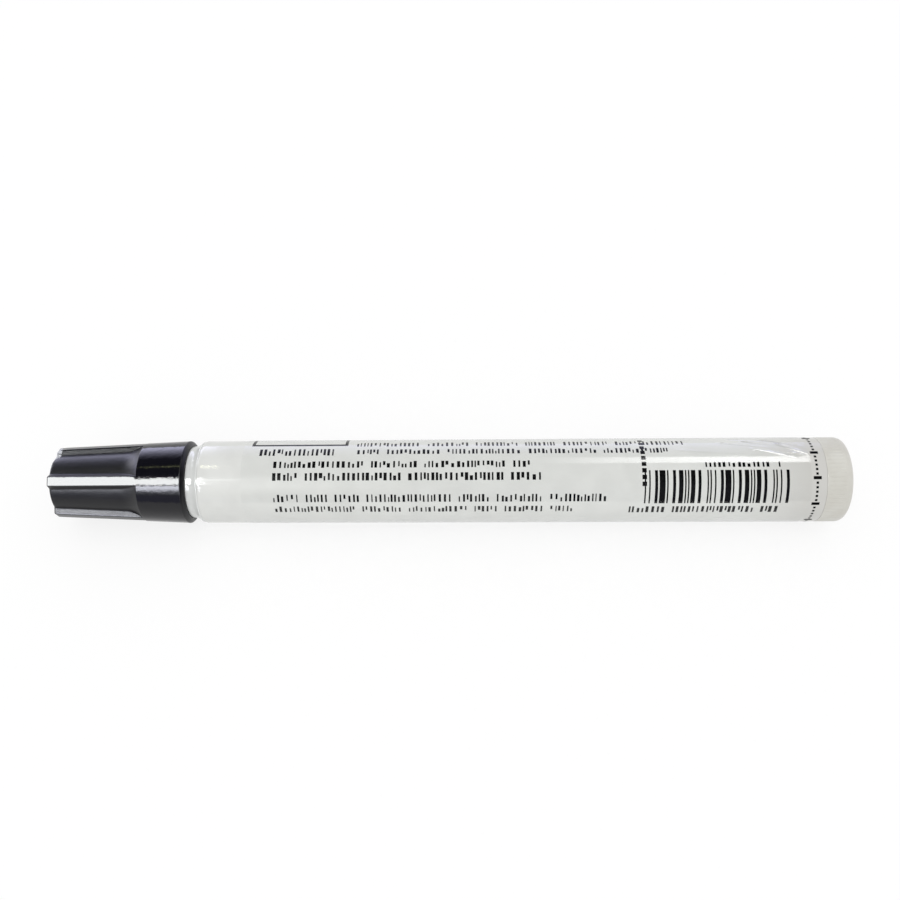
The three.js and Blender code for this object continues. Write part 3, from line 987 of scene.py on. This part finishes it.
barrelFacts = {
    "frontRadius": 7.5,
    "rearRadius": 7.66,
    "meanRadius": 7.6,  # turns a length round the barrel into an angle
    "edgeRound": 0.1,
    "grooveLength": 0.4,  # of its side of the groove behind the collar
    "grooveDepth": 0.12,
    "boreRadius": 6.3,
    "paintedShadeLength": 14.0,  # stretch at the rear end painted darker, as shade where the light falls off
    "paintedShadeBlend": 11.0,
    "ribs": 6,
    "ribWidth": 0.8,
    "ribHeight": 0.48,
}


def barrelRadius(x, facts=barrelFacts):
    # A straight taper, held between the barrel's two ends
    share = np.clip((x - barrelStart) / (barrelEnd - barrelStart), 0, 1)
    return (facts["frontRadius"] + (facts["rearRadius"] - facts["frontRadius"]) * share) * facetFit


def makeBarrel(facts):
    # The profile turned round the axis; the bore's rows between the reservoir's ends rise in ribs
    edge = facts["edgeRound"]
    bore = facts["boreRadius"]
    paintedShadeStart = barrelEnd - facts["paintedShadeLength"]
    x, radius = outline([
        (barrelStart, bore),
        (barrelStart, barrelRadius(barrelStart) - facts["grooveDepth"], edge),
        (barrelStart + facts["grooveLength"], barrelRadius(barrelStart), facts["grooveLength"] / 2),
        (paintedShadeStart, barrelRadius(paintedShadeStart)),
        (paintedShadeStart + facts["paintedShadeBlend"], barrelRadius(paintedShadeStart + facts["paintedShadeBlend"])),
        (barrelEnd, barrelRadius(barrelEnd), edge),
        (barrelEnd, bore, 0.12),
        (coreEnd, bore),
        (coreEnd, bore),
        (coreStart, bore),
        (coreStart, bore),
        (barrelStart, bore),
    ], 7)
    ribRows = (radius < bore + 0.01) & (x > coreStart - 1) & (x < coreEnd + 1)
    ribRows[np.argmax(ribRows)] = False
    ribRows[len(ribRows) - 1 - np.argmax(ribRows[::-1])] = False
    x, radius, ribRows = x[:-1], radius[:-1], ribRows[:-1]
    angles = evenAngles(300)
    onRib = offNearest(angles, facts["ribs"]) < np.degrees(facts["ribWidth"] / 2 / bore) + 0.1
    radius = radius - facts["ribHeight"] * onRib * ribRows
    points, faces = gridBody(x, radius, angles)
    # painted shade: none before its start, full at the rear end, where the light falls off
    painted_shade = np.clip((points[:, 0] - paintedShadeStart) / facts["paintedShadeBlend"], 0, 1)
    piece = makePiece("barrel_moulded", points, faces, barrelWhite, {"painted_shade": painted_shade})
    dress(piece, "barrel", "writing_body")


makeBarrel(barrelFacts)

filmFacts = {
    "gap": 0.006,  # above the barrel, over the print
    "ripple": 0.003,
    "thickness": 0.016,
    "most": 0.076,  # how far it may stand out of the barrel
    # folds near the rear end: from place and angle, to place and angle (past the photograph's
    # direction, towards the back), width and height
    "folds": [
        (97.6, 46.5, 105.8, 30.5, 0.90, 0.046),
        (101.6, 59.5, 109.0, 30.5, 0.95, 0.046),
        (96.0, 63.0, 104.0, 50.0, 0.70, 0.030),
        (92.0, 60.0, 101.0, 48.0, 0.80, 0.030),
        (99.5, 67.0, 107.2, 50.0, 0.60, 0.036),
        (94.0, 71.0, 102.0, 61.0, 0.80, 0.024),
        (91.0, -66.0, 101.0, -72.0, 0.90, 0.018),
        (104.0, 41.0, 108.8, 31.0, 0.60, 0.030),
        (84.0, 44.0, 97.0, 36.0, 1.10, 0.014),
        (102.0, 110.0, 107.4, 96.0, 0.80, 0.035),
        (99.0, 150.0, 106.5, 135.0, 0.80, 0.035),
    ],
    "foldStart": 80.0,  # the rows lie closer from here on
    "foldShading": 3.2,  # how much steeper than the surface its shading is
}


def foldHeight(x, past, facts):
    # Each fold is a straight-sided ridge on its line, as high as it says near its first end, that
    # dies away towards the other. Distances round the barrel count as its radius times the angle.
    height = np.zeros(np.broadcast(x, past).shape)
    arc = np.radians(barrelRadius(x))
    for x0, past0, x1, past1, width, tall in facts["folds"]:
        ahead = np.array([x1 - x0, (past1 - past0) * np.radians(barrelFacts["meanRadius"])])
        length = np.linalg.norm(ahead)
        ahead = ahead / length
        away = x - fromFront(x0), (past - past0) * arc
        along = (away[0] * ahead[0] + away[1] * ahead[1]) / length
        across = away[1] * ahead[0] - away[0] * ahead[1]
        ends = np.clip(along * 9, 0, 1) * np.clip(1 - 0.85 * along, 0, 1) * (along < 1)
        height = np.maximum(height, tall * np.clip(1 - np.abs(across) / (width / 2), 0, 1) * ends)
    return height


def makeFilm(facts):
    # The barrel's taper, plus the folds and a slow ripple, outside; the same less its thickness inside
    foldStart = fromFront(facts["foldStart"])
    plain, folded = np.linspace(filmStart, foldStart, 30), np.linspace(foldStart, filmEnd, 90)
    x = np.concatenate([plain, folded[1:]])[:, None]
    past = np.concatenate([np.linspace(20, 80, 121), np.linspace(80, 380, 240)[1:-1]])[None, :]
    angles = facing - past
    past = (past + 180) % 360 - 180
    slow = np.sin(x * 0.31 + np.radians(angles * 3)) * np.sin(x * 0.11 + np.radians(angles * 2))
    folds = foldHeight(x, past, facts)
    lift = facts["gap"] + facts["ripple"] * (1 + slow) + folds
    lift = np.minimum(lift, facts["most"] - facts["thickness"])
    inner = barrelRadius(x) + lift
    outer = inner + facts["thickness"]
    radius = np.concatenate([outer, inner[::-1]])
    x = np.concatenate([x, x[::-1]])
    points, faces = gridBody(x, radius, angles)
    shading = np.concatenate([folds, folds[::-1]]) * facts["foldShading"]
    piece = makePiece("label_film_clear", points, faces, filmClear, {"fold": shading})
    dress(piece, "label_film", "writing_body")


makeFilm(filmFacts)


# End plug

plugFacts = {
    "radius": 7.66,
    "edgeRound": 1.1,
    "ribs": 60,
    "ribDepth": 0.07,
    "ribFront": 0.35,
    "ribRear": 1.5,
    "ribFade": 0.15,  # over which a rib comes to its depth
    "headGap": 0.015,  # between the barrel's rear edge and the head
    "skirtRadius": 6.25,
    "skirtBore": 5.25,
    "endWall": 1.2,
    "beadLength": 0.8,
    "beadHeight": 0.03,
    "dish": 0.12,  # hollow of the flat end
    "gateRadius": 1.0,  # of the hollow that the mould's gate left in it
    "gateDepth": 0.1,
}


def makePlug(facts):
    # The profile turned round the axis; the ribbed rows are lower by the ribs' depth times the
    # fourth power of the share of half a rib that a point lies from the nearest rib's middle
    skirt, bore, edge = facts["skirtRadius"], facts["skirtBore"], facts["edgeRound"]
    head = facts["radius"] * facetFit
    front = barrelEnd + facts["headGap"]
    ribStart, ribEnd, fade = front + facts["ribFront"], plugEnd - facts["ribRear"], facts["ribFade"]
    flat, gate = plugEnd - facts["dish"], facts["gateRadius"]
    floorAt = plugEnd - facts["endWall"]
    corners = [(floorAt, 0), (floorAt, bore, 0.3), (plugStart, bore, 0.15), (plugStart, skirt, 0.15)]
    for part in (1 / 3, 2 / 3):
        middle = plugStart + (front - plugStart) * part
        corners += beadCorners(middle, facts["beadLength"], skirt, facts["beadHeight"])
    corners += [
        (front, skirt),
        (front, head, 0.06),
        (ribStart, head),
        (ribStart + fade, head),
        (ribEnd - fade, head),
        (ribEnd, head),
        (plugEnd, head, edge * 1.2),
        (plugEnd, head - edge * 1.3),
        (flat, head - edge * 1.6),
        (flat, gate),
        (flat - facts["gateDepth"], gate - 0.15),
        (flat - facts["gateDepth"], 0),
    ]
    x, radius = outline(corners, 6)
    place = np.array([-0.5, -0.46, -0.36, -0.18, 0.0, 0.18, 0.36, 0.46])
    pitch = 360 / facts["ribs"]
    angles = ((np.arange(facts["ribs"])[:, None] + place) * pitch).ravel()[None, :]
    share = np.tile(np.abs(place) * 2, facts["ribs"])[None, :]
    ribbed = (x > ribStart + fade / 2) & (x < ribEnd - fade / 2) & (radius > head - 0.1)
    radius = radius - facts["ribDepth"] * share**4 * ribbed
    points, faces = gridBody(x, radius, angles)
    piece = makePiece("end_plug_moulded", points, faces, plugCream)
    dress(piece, "end_plug", "rear_plug")


makePlug(plugFacts)


# Print: plain marks of black ink on the barrel, under the wrap

printFacts = {
    "rise": 0.004,  # above the barrel
    "sink": 0.02,  # into it, so that the marks have no gap beneath
    "strokeGap": 0.36,
    "wordGap": 1.1,
    "shortest": 0.55,  # least share of the row's height that a stroke takes
    "seed": 7,
    # rows of strokes: from place, to place, lower angle, upper angle (past the photograph's
    # direction) and a stroke's width
    "rows": [
        (10.8, 24.4, 37.5, 50.0, 0.36),
        (28.0, 87.1, 55.5, 66.0, 0.30),
        (28.2, 83.7, 39.5, 48.5, 0.34),
        (13.5, 59.1, 18.5, 28.0, 0.40),
        (13.4, 60.8, 1.0, 11.5, 0.44),
        (13.5, 72.1, -29.0, -18.0, 0.32),
        (13.6, 67.2, -46.0, -36.0, 0.32),
        (89.4, 103.0, 17.0, 24.0, 0.40),
        (76.2, 102.6, -48.5, -37.5, 0.42),
    ],
    "bars": (78.7, 103.5, -32.6, 13.0),  # from place, to place, lower angle, upper angle
    "barUnit": 0.26,
    "barPattern": (1, 1, 2, 4, 1, 2, 3, 1, 1, 3, 2, 1),
    "column": (78.3, -8.0, 68.0),  # place, lower angle, upper angle
    "columnDash": (0.8, 6.0),  # length and turn of a mark
    "columnPitch": 9.0,
    "ringAt": 108.74,
    "ringPitch": 6.0,
    "ringDashEvery": 6,
    "ringDot": (0.21, 3.1),  # half length and turn of a mark
    "ringDash": (0.7, 4.2),
    # from place, to place, lower angle, upper angle and width of its line
    "frame": (9.1, 26.4, 57.5, 103.0, 0.55),
}


def markPatches(places, facts, steps):
    # Each row of places is along from, along to, turn from, turn to. A patch is a grid of one step
    # along and some steps round on the barrel's surface, and the same grid sunk into the barrel,
    # joined by its four sides.
    places = np.asarray(places, float) + [barrelStart, barrelStart, 0, 0]
    share = np.linspace(0, 1, steps + 1)
    x = places[:, :2]
    past = places[:, 2:3] + (places[:, 3:] - places[:, 2:3]) * share
    x = x[:, :, None] + 0 * past[:, None, :]
    past = past[:, None, :] + 0 * x
    top = around(x, barrelRadius(x) + facts["rise"], facing - past)
    low = around(x, barrelRadius(x) - facts["sink"], facing - past)
    points = np.stack([top, low], 1).reshape(len(places), -1, 3)
    return points, patchFaces(2, steps + 1)


def patchFaces(rows, columns):
    # The top grid, the low grid the other way round, and a wall along the edge between them
    count = rows * columns
    top = cells(rows, columns, wrapColumns=False)
    index = np.arange(count).reshape(rows, columns)
    edge = np.concatenate([index[0, :-1], index[:-1, -1], index[-1, :0:-1], index[:0:-1, 0]])
    following = np.roll(edge, -1)
    wall = np.stack([following, edge, edge + count, following + count], -1)
    return np.concatenate([top, top[:, ::-1] + count, wall])


def manyPatches(groups):
    # Joins groups of alike patches into one list of points and one list of faces
    allPoints, allFaces, start = [], [], 0
    for points, faces in groups:
        offsets = start + np.arange(len(points)) * points.shape[1]
        allFaces.append((faces[None] + offsets[:, None, None]).reshape(-1, 4))
        allPoints.append(points.reshape(-1, 3))
        start += points.shape[0] * points.shape[1]
    return np.concatenate(allPoints), [np.concatenate(allFaces)]


def strokeRow(row, facts, random):
    # Groups of 6 to 21 plain upright strokes of uneven width, height and gap, until the row is full
    start, end, low, high, stroke = row
    places = []
    x = start
    while x < end:
        for _ in range(random.integers(6, 22)):
            width = stroke * random.uniform(0.6, 1.4)
            if x + width > end:
                x = end
                break
            share = random.uniform(facts["shortest"], 1) if random.random() < 0.6 else 1
            foot = low if random.random() < 0.6 else high - (high - low) * share
            places.append((x, x + width, foot, foot + (high - low) * share))
            x += width + facts["strokeGap"] * random.uniform(0.6, 1.6)
        x += facts["wordGap"]
    return places


def barBlock(facts):
    # Bars and gaps in turn, as wide as the pattern says; they encode nothing
    start, end, low, high = facts["bars"]
    pattern = facts["barPattern"]
    places, x, k = [], start, 0
    while x < end:
        width = pattern[k % len(pattern)] * facts["barUnit"]
        places.append((x, x + width, low, high))
        x += width + pattern[(k + 5) % len(pattern)] * facts["barUnit"]
        k += 1
    return places


def dashColumn(facts):
    start, low, high = facts["column"]
    length, turn = facts["columnDash"]
    pasts = np.arange(low, high, facts["columnPitch"])
    return [(start, start + length, past, past + turn) for past in pasts]


def dotRing(facts):
    # All round the barrel, with a dash in the place of some dots
    places = []
    for k, past in enumerate(np.arange(-180.0, 180.0, facts["ringPitch"])):
        half, turn = facts["ringDot"] if k % facts["ringDashEvery"] else facts["ringDash"]
        places.append((facts["ringAt"] - half, facts["ringAt"] + half, past, past + turn))
    return places


def emptyFrame(facts):
    # Two upright sides, and two level ones between them
    start, end, low, high, line = facts["frame"]
    turn = np.degrees(line / barrelFacts["meanRadius"])
    return [
        (start, start + line, low, high),
        (end - line, end, low, high),
        (start + line, end - line, low, low + turn),
        (start + line, end - line, high - turn, high),
    ]


def makePrint(facts):
    # All the marks; the tall ones take more steps round the barrel
    random = np.random.default_rng(facts["seed"])
    marks = []
    for row in facts["rows"]:
        marks += strokeRow(row, facts, random)
    marks += dashColumn(facts) + dotRing(facts)
    points, faces = manyPatches([
        markPatches(marks, facts, 4),
        markPatches(barBlock(facts) + emptyFrame(facts), facts, 14),
    ])
    piece = makePiece("barrel_print", points, faces, printInk, crease=25.0)
    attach(piece, "writing_body")


makePrint(printFacts)
